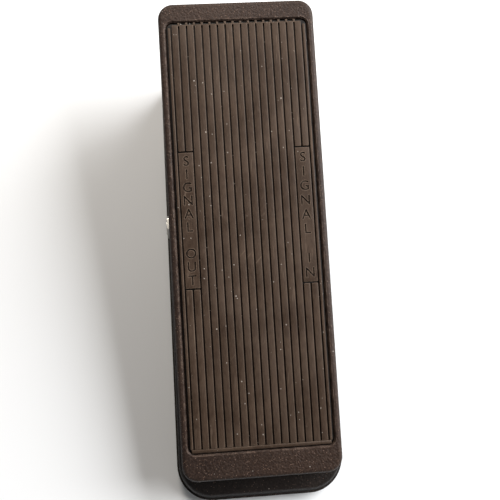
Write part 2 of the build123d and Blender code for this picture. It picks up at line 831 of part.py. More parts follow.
def pot_bracket():
    """The bent steel bracket for the potentiometer and the rack guide."""
    toe_y = pinion_y + can_radius + bracket_toe_margin
    bracket = block(bracket_x, pot_face, bracket_heel_y, toe_y, bracket_bottom, bracket_top)
    bracket = under(bracket, toe_roof.offset(-base_roof - bracket_roof_gap))
    bracket += block(
        pot_face, pot_face + bracket_flange_reach, bracket_heel_y,
        bracket_heel_y + bracket_flange_length, bracket_top - bracket_thickness, bracket_top)
    bracket -= rod_x(bushing_radius, bracket_x, pot_face, pinion_y, pinion_z)
    y, z = guide_place()
    bracket -= rod_x(screw_radius, bracket_x, pot_face, y, z)
    for y in bracket_screw_ys:
        bracket -= rod_z(screw_radius, bracket_screw_x, y,
                         bracket_top - bracket_thickness, bracket_top)
    return bracket


def bracket_screws():
    """Two screws that hold the bracket under the roof."""
    return [screw_up(bracket_screw_x, y, bracket_top - bracket_thickness,
                     bracket_thickness + screw_grip)
            for y in bracket_screw_ys]


# ---- jacks, drawn on the +X side ----

jack_back = jack_face - jack_body_length


def jack_body():
    """The moulded body, hollow for the plug's tip and the contacts."""
    half_width = jack_body_width / 2
    half_height = jack_body_height / 2
    body = block(jack_back, jack_face, jack_y - half_width, jack_y + half_width,
                 jack_z - half_height, jack_z + half_height)
    wall = jack_body_wall
    body -= block(jack_back + wall, jack_face - wall,
                  jack_y - half_width + wall, jack_y + half_width - wall,
                  jack_z - half_height + wall, jack_z + half_height - wall)
    body -= rod_x(jack_bore_radius, jack_face - wall, jack_face, jack_y, jack_z)
    for low, high in contact_heights():
        body -= block(jack_back, jack_back + wall, jack_y - contact_width / 2,
                      jack_y + contact_width / 2, low, high)
    return body


def contact_heights():
    """Bottom and top of the tip spring's and the sleeve contact's strips."""
    offset = jack_bore_radius + contact_gap
    return [(jack_z + offset, jack_z + offset + contact_thickness),
            (jack_z - offset - contact_thickness, jack_z - offset)]


def jack_contact(number):
    """A strip that lies beside the plug and leaves the body as a solder tag."""
    low, high = contact_heights()[number]
    return block(jack_back - contact_tag, jack_face - jack_body_wall - contact_lead,
                 jack_y - contact_width / 2, jack_y + contact_width / 2, low, high)


def jack_bushing():
    """The threaded barrel that passes through the wall."""
    barrel = rod_x(jack_barrel_radius, jack_face, jack_barrel_end, jack_y, jack_z)
    return barrel - rod_x(jack_bore_radius, jack_face, jack_barrel_end, jack_y, jack_z)


def jack_washer():
    """The washer in the spot face."""
    end = jack_spot_face + jack_washer_height
    ring = rod_x(jack_washer_radius, jack_spot_face, end, jack_y, jack_z)
    return ring - rod_x(jack_barrel_radius, jack_spot_face, end, jack_y, jack_z)


def jack_nut():
    """The nut outside the wall."""
    start = jack_spot_face + jack_washer_height
    end = start + jack_nut_height
    nut = hex_x(jack_nut_flats, start, end, jack_y, jack_z)
    return nut - rod_x(jack_barrel_radius, start, end, jack_y, jack_z)


# ---- bumpers ----

def bumpers(plane, y):
    """Two rubber buttons in their pockets on one slope of the roof."""
    return [extrude(plane * Pos(x, y, -bumper_pocket) * Circle(bumper_radius), bumper_height)
            for x in (-bumper_x, bumper_x)]


# ---- hook-up wires ----

def bend_radii(points):
    """The largest even bend at each inner corner of a wire's route."""
    radii = []
    for before, corner, after in zip(points, points[1:], points[2:]):
        incoming = Vector(*corner) - Vector(*before)
        outgoing = Vector(*after) - Vector(*corner)
        turn = radians(incoming.get_angle(outgoing))
        run = min(incoming.length, outgoing.length)
        radii.append(wire_bend_share * run / tan(turn / 2))
    return radii


def wire(points):
    """An insulated wire along straight runs joined by tangent bends."""
    path = FilletPolyline(*points, radius=bend_radii(points))
    start = Plane(origin=path @ 0, z_dir=path % 0)
    return sweep(start * Circle(wire_radius), path=path)


def tag_end(side, number, y_offset=0.0):
    """The end of a jack's solder tag, on the +X side (1) or the -X side (-1)."""
    low, high = contact_heights()[number]
    return (side * (jack_back - contact_tag), jack_y + y_offset, (low + high) / 2)


def terminal_end(number):
    """The end of one of the potentiometer's solder tags."""
    x = wafer_start + wafer_thickness + terminal_thickness / 2
    y = pinion_y + can_radius + wafer_tongue + terminal_overhang
    return (x, y, terminal_heights()[number])


def wires():
    """The four wires: input, output, ground to the potentiometer, ground between the jacks."""
    floor = plate_top + wire_floor_gap
    lane = bracket_x + bracket_thickness + screw_head_height + wire_lane_gap
    under_can = pinion_z - can_radius - wire_lane_gap
    tip = tag_end(1, 0)
    sleeve = tag_end(1, 1, wire_tag_spacing)
    link = tag_end(1, 1, -wire_tag_spacing)
    output_tip = tag_end(-1, 0)
    output_sleeve = tag_end(-1, 1)
    low, middle, high = (terminal_end(number) for number in range(3))
    return {
        "input_wire": wire([
            tip, (lane, tip[1], tip[2]), (lane + 0.3, tip[1] + 5.5, tip[2] - 4.0),
            (lane + 1.2, tip[1] + 9.0, under_can), (lane + 0.6, high[1] - 8.0, under_can - 0.6),
            (lane - 2.6, high[1] + 2.5, under_can + 2.0), (lane - 2.4, high[1] + 8.5, middle[2]),
            (high[0], high[1] + 6.5, high[2]), high]),
        "ground_wire": wire([
            sleeve, (lane, sleeve[1], sleeve[2]),
            (lane + 3.0, sleeve[1] + 2.5, floor + 0.9), (lane + 4.4, sleeve[1] + 12.0, floor),
            (lane + 3.6, low[1] - 5.0, floor + 0.4), (lane + 2.2, low[1] + 3.6, floor + 3.2),
            (low[0], low[1] + 4.2, low[2]), low]),
        "output_wire": wire([
            middle, (middle[0], middle[1] + 3.6, middle[2]),
            (3.0, middle[1] + 4.6, middle[2] - 3.0), (-10.0, middle[1] + 1.2, middle[2] - 8.0),
            (-16.0, jack_y + 20.0, middle[2] - 9.0), (-11.5, jack_y + 8.0, middle[2] - 6.5),
            (-8.5, jack_y + 1.5, output_tip[2] - 1.7), (-11.8, jack_y, output_tip[2]),
            output_tip]),
        "ground_link": wire([
            link, (lane, link[1], link[2]),
            (lane - 1.8, link[1] - 2.5, floor + 0.9), (lane - 9.0, link[1] - 4.2, floor),
            (-8.0, link[1] - 4.5, floor + 0.3), (-11.0, link[1] - 1.5, floor + 3.4),
            (-11.8, output_sleeve[1], output_sleeve[2]), output_sleeve]),
    }


def build():
    """Every piece by its node's name, in its rest position."""
    right_bearing = bearing()
    pieces = {
        "base_housing": [base_housing()],
        "base_plate": [base_plate()],
        "rubber_feet": rubber_feet(),
        "foot_screws": foot_screws(),
        "treadle": [tilted(treadle())],
        "tread_pad": [tilted(tread_pad())],
        "pivot_pin": [tilted(pivot_pin())],
        "pin_clips": [tilted(clip) for clip in pin_clips()],
        "right_bearing": [right_bearing],
        "left_bearing": [right_bearing.mirror(Plane.YZ)],
        "bearing_clamps": bearing_clamps(),
        "clamp_screws": clamp_screws(),
        "sector_rack": [tilted(sector_rack())],
        "rack_screws": [tilted(screw) for screw in rack_screws()],
        "rack_guide": [rack_guide()],
        "guide_screw": [guide_screw()],
        "pinion": [pinion()],
        "pinion_set_screw": [pinion_set_screw()],
        "pot_shaft": [pot_shaft()],
        "pot_wiper": [pot_wiper()],
        "pot_bushing": [pot_bushing()],
        "pot_wafer": [pot_wafer()],
        "pot_can": [pot_can()],
        "pot_terminals": pot_terminals(),
        "pot_washer": [pot_washer()],
        "pot_nut": [pot_nut()],
        "pot_bracket": [pot_bracket()],
        "bracket_screws": bracket_screws(),
        "heel_bumpers": bumpers(heel_roof, heel_bumper_y),
        "toe_bumpers": bumpers(toe_roof, toe_bumper_y),
    }
    jack_pieces = {
        "jack_body": jack_body(),
        "jack_bushing": jack_bushing(),
        "jack_washer": jack_washer(),
        "jack_nut": jack_nut(),
        "tip_spring": jack_contact(0),
        "sleeve_contact": jack_contact(1),
    }
    for name, piece in jack_pieces.items():
        pieces["input_" + name] = [piece]
        pieces["output_" + name] = [piece.mirror(Plane.YZ)]
    for name, piece in wires().items():
        pieces[name] = [piece]
    return pieces


os.makedirs("parts", exist_ok=True)
for name, solids in build().items():
    node = solids[0] if len(solids) == 1 else Compound(children=list(solids))
    export_step(node, "parts/" + name + ".step")
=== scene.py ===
import json
import math

import bmesh
import bpy
from mathutils import Matrix, Vector


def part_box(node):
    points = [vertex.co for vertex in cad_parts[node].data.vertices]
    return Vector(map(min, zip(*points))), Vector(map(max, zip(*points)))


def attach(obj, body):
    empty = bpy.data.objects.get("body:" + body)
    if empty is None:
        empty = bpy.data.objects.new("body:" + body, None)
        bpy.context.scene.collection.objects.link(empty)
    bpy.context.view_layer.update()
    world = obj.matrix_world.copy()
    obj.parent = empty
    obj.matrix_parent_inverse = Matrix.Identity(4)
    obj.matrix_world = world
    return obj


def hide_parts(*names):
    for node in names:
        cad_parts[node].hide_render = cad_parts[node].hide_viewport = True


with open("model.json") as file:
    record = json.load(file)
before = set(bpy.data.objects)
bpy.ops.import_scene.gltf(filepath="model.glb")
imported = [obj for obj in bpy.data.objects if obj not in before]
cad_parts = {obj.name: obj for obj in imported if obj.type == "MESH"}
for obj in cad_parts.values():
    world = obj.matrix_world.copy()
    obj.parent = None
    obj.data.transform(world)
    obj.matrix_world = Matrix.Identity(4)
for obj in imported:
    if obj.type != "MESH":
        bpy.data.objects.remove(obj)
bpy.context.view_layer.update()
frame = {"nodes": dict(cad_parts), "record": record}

# Foot volume pedal, in metres. +X is the input side, +Y is the toe end, +Z is up.

mm = 0.001
tiny = 0.02 * mm
rest_tilt = math.radians(13.0)
toe_down_tilt = math.radians(8.0)
pivot = Vector([joint for joint in frame["record"]["behaviour"]["joints"]
                if joint["name"] == "treadle_rock"][0]["pos_m"])
lean = (Matrix.Translation(pivot) @ Matrix.Rotation(rest_tilt, 4, "X")
        @ Matrix.Translation(-pivot))


def level_box(node):
    """Corners of a piece of the treadle, once the treadle is turned back to level."""
    back = lean.inverted()
    points = [back @ vertex.co for vertex in frame["nodes"][node].data.vertices]
    low = Vector([min(point[side] for point in points) for side in range(3)])
    high = Vector([max(point[side] for point in points) for side in range(3)])
    return low, high


mat_low, mat_high = level_box("tread_pad")
leaning_height = (Matrix.Rotation(-rest_tilt, 4, "X") @ (lean @ mat_high)).z


# ---- camera and light ----

def look_from_above():
    """The camera over the heel end, looking down along the treadle."""
    bpy.ops.object.camera_add(
        location=(-0.02303, -0.10654, 0.40442),
        rotation=(math.radians(16.616), math.radians(-2.541), math.radians(-4.159)))
    camera = bpy.context.object
    camera.name = "view_camera"
    camera.data.lens = 50.41
    camera.data.sensor_width = 36.0
    camera.data.clip_start = 0.01
    bpy.context.scene.camera = camera


def soft_box(name, place, aim, size, watts, tint):
    """A rectangular studio light that faces a point."""
    facing = (Vector(aim) - Vector(place)).to_track_quat("-Z", "Y").to_euler()
    bpy.ops.object.light_add(type="AREA", location=place, rotation=facing)
    light = bpy.context.object
    light.name = name
    light.data.shape = "RECTANGLE"
    light.data.size = size[0]
    light.data.size_y = size[1]
    light.data.energy = watts
    light.data.color = tint


def studio():
    """Soft daylight all round, a wide light on the input side and a small one past the toe."""
    world = bpy.data.worlds.new("studio_air")
    world.use_nodes = True
    air = world.node_tree.nodes["Background"]
    air.inputs["Color"].default_value = (1.0, 1.0, 1.0, 1.0)
    air.inputs["Strength"].default_value = 0.17
    bpy.context.scene.world = world
    bpy.context.scene.view_settings.view_transform = "Standard"
    soft_box("window_side", (0.86, 0.24, 0.68), (0.0, 0.0, 0.02), (0.95, 0.8), 27.0,
             (1.0, 1.0, 1.0))
    soft_box("toe_side", (-0.12, 0.46, 0.50), (0.0, 0.12, 0.05), (0.26, 0.18), 2.3,
             (1.0, 0.92, 0.82))


# ---- node wiring ----

def put(tree, kind, feeds=None, **settings):
    """Adds a node. A feed is a value or another node's output, by the socket's name or number."""
    made = tree.nodes.new(kind)
    for name, value in settings.items():
        setattr(made, name, value)
    for socket, value in (feeds or {}).items():
        if isinstance(value, bpy.types.NodeSocket):
            tree.links.new(value, made.inputs[socket])
        else:
            made.inputs[socket].default_value = value
    return made


def sums(tree, operation, first, second=0.0, third=0.0):
    """The result of one step of arithmetic."""
    step = put(tree, "ShaderNodeMath", {0: first, 1: second, 2: third}, operation=operation)
    return step.outputs[0]


def band(tree, value, low, high):
    """0 below low, 1 above high, and a smooth rise between them."""
    ramp = put(tree, "ShaderNodeMapRange", {"Value": value, "From Min": low, "From Max": high},
               interpolation_type="SMOOTHSTEP")
    return ramp.outputs[0]


def blended(tree, share, first, second):
    """A colour between two colours."""
    mix = put(tree, "ShaderNodeMix", {0: share, 6: first, 7: second}, data_type="RGBA")
    return mix.outputs[2]


def between(tree, share, first, second):
    """A number between two numbers."""
    mix = put(tree, "ShaderNodeMix", {0: share, 2: first, 3: second}, data_type="FLOAT")
    return mix.outputs[0]


def own_place(tree, scale=(1.0, 1.0, 1.0), turn=(0.0, 0.0, 0.0)):
    """The surface's place on the object, stretched or turned for a pattern."""
    place = put(tree, "ShaderNodeTexCoord")
    fitted = put(tree, "ShaderNodeMapping", {
        "Vector": place.outputs["Object"], "Scale": scale, "Rotation": turn})
    return fitted.outputs[0]


def cloud(tree, place, scale, detail=2.0, rough=0.5):
    """Soft noise from 0 to 1."""
    noise = put(tree, "ShaderNodeTexNoise", {
        "Vector": place, "Scale": scale, "Detail": detail, "Roughness": rough})
    return noise.outputs[0]


def effect(name, takes, gives):
    """An empty node group with named inputs and outputs, and its two end nodes."""
    group = bpy.data.node_groups.new(name, "ShaderNodeTree")
    kinds = {float: "NodeSocketFloat", tuple: "NodeSocketColor"}
    for label, value in takes.items():
        socket = group.interface.new_socket(
            label, in_out="INPUT", socket_type=kinds[type(value)])
        socket.default_value = value
    for label, kind in gives.items():
        group.interface.new_socket(label, in_out="OUTPUT", socket_type=kinds[kind])
    start = group.nodes.new("NodeGroupInput")
    end = group.nodes.new("NodeGroupOutput")
    return group, start.outputs, end.inputs


def powder_coat_effect():
    """Baked crinkle coat: blistered grain, mottled tone and pale specks that are partly coloured
    speckle and partly painted glints of the crinkle.
    """
    group, given, result = effect("powder coat", {
        "Dark": (0.03, 0.02, 0.018, 1.0), "Light": (0.07, 0.05, 0.04, 1.0),
        "Speck": (0.2, 0.12, 0.08, 1.0), "Grain Scale": 900.0, "Speck Share": 0.1,
    }, {"Color": tuple, "Roughness": float, "Height": float})
    place = own_place(group)
    grain = cloud(group, place, given["Grain Scale"], 3.0, 0.6)
    blister = put(group, "ShaderNodeTexVoronoi", {
        "Vector": place, "Scale": sums(group, "MULTIPLY", given["Grain Scale"], 0.8)},
        feature="SMOOTH_F1")
    drift = cloud(group, place, 16.0, 3.0, 0.55)
    tone = sums(group, "MULTIPLY_ADD", band(group, grain, 0.36, 0.66), 0.6,
                sums(group, "MULTIPLY", band(group, drift, 0.3, 0.7), 0.4))
    coat = blended(group, tone, given["Dark"], given["Light"])
    # Pale specks: coloured speckle in the coat and, in their brightness, painted glints of the
    # crinkle.
    specks = put(group, "ShaderNodeTexVoronoi", {
        "Vector": place, "Scale": sums(group, "MULTIPLY", given["Grain Scale"], 1.3)})
    pick = put(group, "ShaderNodeSeparateColor", {0: specks.outputs["Color"]})
    chosen = sums(group, "LESS_THAN", pick.outputs[0], given["Speck Share"])
    near = sums(group, "SUBTRACT", 1.0, band(group, specks.outputs["Distance"], 0.12, 0.38))
    speckled_and_glinting = blended(group, sums(group, "MULTIPLY", chosen, near), coat, given["Speck"])
    group.links.new(speckled_and_glinting, result["Color"])
    group.links.new(between(group, grain, 0.40, 0.66), result["Roughness"])
    height = sums(group, "MULTIPLY_ADD", grain, 0.7,
                  sums(group, "MULTIPLY", blister.outputs["Distance"], -0.6))
    group.links.new(height, result["Height"])
    return group


def edge_wear_and_highlight_effect():
    """Where an outer edge has taken wear, broken up by noise; lightening by this mask is also a
    painted highlight along the edges.
    """
    group, given, result = effect(
        "edge wear and painted highlight", {"Reach": 0.0008, "Patch Scale": 140.0, "Hold": 0.45}, {"Mask": float})
    soft = put(group, "ShaderNodeBevel", {"Radius": given["Reach"]}, samples=6)
    sharp = put(group, "ShaderNodeNewGeometry")
    match = put(group, "ShaderNodeVectorMath", {
        0: soft.outputs[0], 1: sharp.outputs["Normal"]}, operation="DOT_PRODUCT")
    edge = band(group, sums(group, "SUBTRACT", 1.0, match.outputs["Value"]), 0.004, 0.10)
    patch = cloud(group, own_place(group), given["Patch Scale"], 4.0, 0.7)
    upper = sums(group, "ADD", given["Hold"], 0.2)
    patchy = put(group, "ShaderNodeMapRange", {
        "Value": patch, "From Min": given["Hold"], "From Max": upper},
        interpolation_type="SMOOTHSTEP")
    group.links.new(sums(group, "MULTIPLY", edge, patchy.outputs[0]), result["Mask"])
    return group


def dust_effect():
    """A thin film of dust on what faces up, and a few bright grains of lint."""
    group, given, result = effect(
        "dust", {"Film": 0.3, "Grain Share": 0.05, "Grain Scale": 420.0},
        {"Film": float, "Grains": float})
    place = own_place(group)
    facing = put(group, "ShaderNodeNewGeometry")
    up = put(group, "ShaderNodeSeparateXYZ", {0: facing.outputs["Normal"]})
    upward = band(group, up.outputs[2], 0.2, 0.95)
    patches = band(group, cloud(group, place, 38.0, 4.0, 0.65), 0.42, 0.72)
    film = sums(group, "MULTIPLY", sums(group, "MULTIPLY", upward, patches), given["Film"])
    grains = put(group, "ShaderNodeTexVoronoi", {"Vector": place, "Scale": given["Grain Scale"]})
    pick = put(group, "ShaderNodeSeparateColor", {0: grains.outputs["Color"]})
    chosen = sums(group, "LESS_THAN", pick.outputs[1], given["Grain Share"])
    size = sums(group, "MULTIPLY", pick.outputs[2], 0.3)
    near = sums(group, "LESS_THAN", grains.outputs["Distance"], size)
    lint = sums(group, "MULTIPLY", sums(group, "MULTIPLY", chosen, near), upward)
    group.links.new(film, result["Film"])
    group.links.new(lint, result["Grains"])
    return group


def scuff_effect():
    """Thin scratches, long in one direction that Turn sets in radians about Z."""
    group, given, result = effect(
        "scuffs", {"Turn": 0.0, "Fineness": 700.0, "Rarity": 0.70}, {"Mask": float})
    place = put(group, "ShaderNodeTexCoord")
    spin = put(group, "ShaderNodeVectorRotate", {
        "Vector": place.outputs["Object"], "Angle": given["Turn"]}, rotation_type="Z_AXIS")
    drawn = put(group, "ShaderNodeMapping", {
        "Vector": spin.outputs[0], "Scale": (1.0, 0.03, 0.25)})
    streak = cloud(group, drawn.outputs[0], given["Fineness"], 2.0, 0.5)
    upper = sums(group, "ADD", given["Rarity"], 0.04)
    line = put(group, "ShaderNodeMapRange", {
        "Value": streak, "From Min": given["Rarity"], "From Max": upper})
    patch = band(group, cloud(group, spin.outputs[0], 45.0, 3.0, 0.6), 0.48, 0.6)
    group.links.new(sums(group, "MULTIPLY", line.outputs[0], patch), result["Mask"])
    return group


def fine_grain_effect():
    """The fine skin of a moulding or a rolled sheet: a height and a slow mottle."""
    group, given, result = effect(
        "fine grain", {"Grain Scale": 2200.0, "Mottle Scale": 60.0},
        {"Height": float, "Mottle": float})
    place = own_place(group)
    group.links.new(cloud(group, place, given["Grain Scale"], 3.0, 0.6), result["Height"])
    mottle = band(group, cloud(group, place, given["Mottle Scale"], 4.0, 0.6), 0.3, 0.7)
    group.links.new(mottle, result["Mottle"])
    return group


def brushing_effect():
    """Fine parallel marks of brushing or turning, along X."""
    group, given, result = effect(
        "brushing", {"Fineness": 3000.0}, {"Height": float, "Roughness": float})
    place = own_place(group, scale=(0.04, 1.0, 1.0))
    marks = cloud(group, place, given["Fineness"], 3.0, 0.6)
    group.links.new(marks, result["Height"])
    group.links.new(between(group, marks, 0.22, 0.48), result["Roughness"])
    return group


powder_coat = powder_coat_effect()
edge_wear_and_highlight = edge_wear_and_highlight_effect()
dust = dust_effect()
scuffs = scuff_effect()
fine_grain = fine_grain_effect()
brushing = brushing_effect()


def use(tree, group, **values):
    """Places an effect in a material with its own values, and gives its outputs."""
    placed = put(tree, "ShaderNodeGroup", node_tree=group)
    for label, value in values.items():
        placed.inputs[label.replace("_", " ")].default_value = value
    return placed.outputs


def blank_finish(name):
    """A new material, its node tree and its surface shader."""
    finish = bpy.data.materials.new(name)
    finish.use_nodes = True
    return finish, finish.node_tree, finish.node_tree.nodes["Principled BSDF"]


def raise_surface(tree, shader, height, deep, strength=1.0):
    """Feeds a height to the shader's normal."""
    bump = put(tree, "ShaderNodeBump", {
        "Height": height, "Distance": deep, "Strength": strength})
    tree.links.new(bump.outputs[0], shader.inputs["Normal"])


def coated_casting(name, dark, light, speck_and_glint_tone, worn_and_highlight_tone, grain, share, wear):
    """Powder-coated cast metal whose edges are lightened by wear and a painted highlight, with
    dust, light scuffs and painted shade on its sideways faces.
    """
    finish, tree, shader = blank_finish(name)
    coat = use(tree, powder_coat, Dark=dark, Light=light, Speck=speck_and_glint_tone,
               Grain_Scale=grain, Speck_Share=share)
    edge_wear_and_glint = use(tree, edge_wear_and_highlight, Reach=0.0012, Patch_Scale=260.0, Hold=wear)
    dirt = use(tree, dust, Film=0.10, Grain_Share=0.02, Grain_Scale=800.0)
    marks = use(tree, scuffs, Turn=0.5, Fineness=900.0, Rarity=0.72)
    # Painted shade: faces that turn sideways are pulled most of the way to the dark coat tone, so
    # the sides read darker than the tops.
    facing = put(tree, "ShaderNodeNewGeometry")
    height = put(tree, "ShaderNodeSeparateXYZ", {0: facing.outputs["Normal"]})
    free_of_side_shade = band(tree, height.outputs[2], 0.1, 0.9)
    colour = blended(tree, free_of_side_shade, blended(tree, 0.85, coat["Color"], dark), coat["Color"])
    # Edge wear and painted highlight: the edge mask lightens the coat's edges, such as the lip
    # round the mat, towards the pale tone.
    colour = blended(tree, edge_wear_and_glint["Mask"], colour, worn_and_highlight_tone)
    colour = blended(tree, dirt["Film"], colour, (0.09, 0.065, 0.052, 1.0))
    colour = blended(tree, sums(tree, "MULTIPLY", marks["Mask"], 0.35), colour, worn_and_highlight_tone)
    colour = blended(tree, dirt["Grains"], colour, (0.30, 0.26, 0.23, 1.0))
    tree.links.new(colour, shader.inputs["Base Color"])
    tree.links.new(between(tree, edge_wear_and_glint["Mask"], coat["Roughness"], 0.36),
                   shader.inputs["Roughness"])
    raise_surface(tree, shader, coat["Height"], 0.0004, 0.9)
    shader.inputs["Specular IOR Level"].default_value = 0.24
    return finish


def moulded_rubber(name, dark, light, groove_shade_tone, worn_and_highlight_tone, grooved=False):
    """Rubber with a fine skin, dust, scuffs, edges lightened by wear and a painted highlight and,
    on the mat, painted shade in the grooves and letters.
    """
    finish, tree, shader = blank_finish(name)
    skin = use(tree, fine_grain, Grain_Scale=1900.0, Mottle_Scale=42.0)
    edge_wear_and_glint = use(tree, edge_wear_and_highlight, Reach=0.0008, Patch_Scale=150.0, Hold=0.31)
    dirt = use(tree, dust, Film=0.16, Grain_Share=0.05, Grain_Scale=820.0)
    lengthwise = use(tree, scuffs, Turn=0.02, Fineness=900.0, Rarity=0.64)
    slanting = use(tree, scuffs, Turn=0.75, Fineness=620.0, Rarity=0.70)
    drawn = own_place(tree, scale=(1.0, 0.06, 1.0))
    streaks = band(tree, cloud(tree, drawn, 1300.0, 3.0, 0.6), 0.35, 0.68)
    tone = sums(tree, "MULTIPLY_ADD", skin["Mottle"], 0.55,
                sums(tree, "MULTIPLY", streaks, 0.45))
    colour = blended(tree, tone, dark, light)
    # Edge wear and painted highlight: the edge mask lightens the rib edges towards the pale tone,
    # giving bright lines along them.
    colour = blended(tree, sums(tree, "MULTIPLY", edge_wear_and_glint["Mask"], 0.9), colour, worn_and_highlight_tone)
    colour = blended(tree, dirt["Film"], colour, (0.10, 0.075, 0.058, 1.0))
    marks = sums(tree, "MAXIMUM", lengthwise["Mask"], slanting["Mask"])
    colour = blended(tree, sums(tree, "MULTIPLY", marks, 0.45), colour, worn_and_highlight_tone)
    # Painted shade: on the mat, the colour turns to a near-black tone with depth below the rib
    # tops, darkening the grooves, the cuts by the bars and the sunk letters.
    if grooved:
        level = own_place(tree, turn=(-rest_tilt, 0.0, 0.0))
        parts = put(tree, "ShaderNodeSeparateXYZ", {0: level})
        depth = sums(tree, "SUBTRACT", leaning_height, parts.outputs[2])
        colour = blended(tree, band(tree, depth, 0.00045, 0.0008), colour, groove_shade_tone)
    colour = blended(tree, sums(tree, "MULTIPLY", dirt["Grains"], 0.8), colour,
                     (0.42, 0.37, 0.33, 1.0))
    tree.links.new(colour, shader.inputs["Base Color"])
    matt = between(tree, skin["Mottle"], 0.46, 0.62)
    tree.links.new(between(tree, marks, matt, 0.75), shader.inputs["Roughness"])
    raise_surface(tree, shader, skin["Height"], 0.00012, 0.6)
    shader.inputs["Specular IOR Level"].default_value = 0.26
    return finish


def bright_metal(name, tone, dull, metal_rough=(0.0, 0.16)):
    """Plated or bare metal with fine marks, dull patches and a little grime."""
    finish, tree, shader = blank_finish(name)
    marks = use(tree, brushing, Fineness=3000.0)
    skin = use(tree, fine_grain, Grain_Scale=2600.0, Mottle_Scale=120.0)
    edge_wear_and_glint = use(tree, edge_wear_and_highlight, Reach=0.0003, Patch_Scale=400.0, Hold=0.3)
    colour = blended(tree, skin["Mottle"], tone, dull)
    colour = blended(tree, sums(tree, "MULTIPLY", edge_wear_and_glint["Mask"], 0.5), colour, tone)
    tree.links.new(colour, shader.inputs["Base Color"])
    rough = sums(tree, "ADD", marks["Roughness"],
                 between(tree, skin["Mottle"], metal_rough[0], metal_rough[1]))
    tree.links.new(rough, shader.inputs["Roughness"])
    shader.inputs["Metallic"].default_value = 1.0
    raise_surface(tree, shader, marks["Height"], 0.00003, 0.35)
    return finish


def moulded_plastic(name, tone, second, rough):
    """Plain moulded plastic with a fine skin, slight mottle and handling dust."""
    finish, tree, shader = blank_finish(name)
    skin = use(tree, fine_grain, Grain_Scale=2400.0, Mottle_Scale=90.0)
    dirt = use(tree, dust, Film=0.15, Grain_Share=0.02, Grain_Scale=700.0)
    colour = blended(tree, skin["Mottle"], tone, second)
    colour = blended(tree, dirt["Film"], colour, (0.3, 0.28, 0.25, 1.0))
    tree.links.new(colour, shader.inputs["Base Color"])
    tree.links.new(between(tree, skin["Mottle"], rough, rough + 0.12),
                   shader.inputs["Roughness"])
    raise_surface(tree, shader, skin["Height"], 0.00005, 0.4)
    return finish


finishes = {
    "treadle_coat": coated_casting(
        "treadle_coat", (0.014, 0.007, 0.0048, 1.0), (0.044, 0.025, 0.017, 1.0),
        (0.22, 0.14, 0.105, 1.0), (0.17, 0.118, 0.09, 1.0), 1100.0, 0.17, 0.40),
    "housing_coat": coated_casting(
        "housing_coat", (0.0045, 0.0030, 0.0025, 1.0), (0.018, 0.0115, 0.009, 1.0),
        (0.14, 0.09, 0.07, 1.0), (0.062, 0.046, 0.038, 1.0), 1100.0, 0.12, 0.54),
    "pad_rubber": moulded_rubber(
        "pad_rubber", (0.029, 0.0158, 0.0088, 1.0), (0.064, 0.039, 0.0245, 1.0),
        (0.0050, 0.0027, 0.0017, 1.0), (0.15, 0.105, 0.075, 1.0), True),
    "foot_rubber": moulded_rubber(
        "foot_rubber", (0.010, 0.010, 0.010, 1.0), (0.026, 0.025, 0.024, 1.0),
        (0.005, 0.005, 0.005, 1.0), (0.07, 0.068, 0.065, 1.0)),
    "plated_steel": bright_metal(
        "plated_steel", (0.62, 0.62, 0.60, 1.0), (0.42, 0.41, 0.38, 1.0)),
    "ground_steel": bright_metal(
        "ground_steel", (0.66, 0.66, 0.67, 1.0), (0.50, 0.50, 0.50, 1.0), (-0.08, 0.0)),
    "pinion_brass": bright_metal(
        "pinion_brass", (0.72, 0.50, 0.22, 1.0), (0.52, 0.34, 0.15, 1.0)),
    "pot_can_metal": bright_metal(
        "pot_can_metal", (0.55, 0.55, 0.54, 1.0), (0.36, 0.35, 0.33, 1.0), (0.05, 0.2)),
    "tinned_brass": bright_metal(
        "tinned_brass", (0.74, 0.70, 0.60, 1.0), (0.55, 0.50, 0.40, 1.0), (0.0, 0.1)),
    "jack_nickel": bright_metal(
        "jack_nickel", (0.70, 0.68, 0.64, 1.0), (0.52, 0.50, 0.47, 1.0), (-0.06, 0.08)),
    "white_nylon": moulded_plastic(
        "white_nylon", (0.72, 0.70, 0.64, 1.0), (0.60, 0.57, 0.50, 1.0), 0.38),
    "gear_plastic": moulded_plastic(
        "gear_plastic", (0.50, 0.49, 0.45, 1.0), (0.40, 0.39, 0.35, 1.0), 0.34),
    "wafer_board": moulded_plastic(
        "wafer_board", (0.16, 0.075, 0.03, 1.0), (0.10, 0.045, 0.02, 1.0), 0.45),
    "jack_plastic": moulded_plastic(
        "jack_plastic", (0.018, 0.018, 0.019, 1.0), (0.035, 0.035, 0.036, 1.0), 0.34),
    "red_wire": moulded_plastic(
        "red_wire", (0.42, 0.02, 0.015, 1.0), (0.30, 0.015, 0.012, 1.0), 0.36),
    "white_wire": moulded_plastic(
        "white_wire", (0.70, 0.68, 0.64, 1.0), (0.58, 0.56, 0.50, 1.0), 0.36),
    "black_wire": moulded_plastic(
        "black_wire", (0.012, 0.012, 0.013, 1.0), (0.03, 0.03, 0.03, 1.0), 0.36),
}
for node in frame["nodes"].values():
    for place in node.material_slots:
        place.material = finishes[place.material.name]


# ---- ways of working ----

def drop_choice():
    """Leaves nothing selected."""
    if bpy.context.object is not None and bpy.context.object.mode != "OBJECT":
        bpy.ops.object.mode_set(mode="OBJECT")
    bpy.ops.object.select_all(action="DESELECT")


def choose_only(*pieces):
    """Selects pieces and makes the first one active."""
    drop_choice()
    for piece in pieces:
        piece.select_set(True)
    bpy.context.view_layer.objects.active = pieces[0]


def settle(piece):
    """Moves an object's place, turn and size into its mesh."""
    choose_only(piece)
    bpy.ops.object.transform_apply(location=True, rotation=True, scale=True)


def add_block(name, low, high):
    """A box between two corners."""
    low, high = Vector(low), Vector(high)
    drop_choice()
    bpy.ops.mesh.primitive_cube_add(size=1, location=(low + high) / 2, scale=high - low)
    block = bpy.context.object
    block.name = name
    settle(block)
    return block


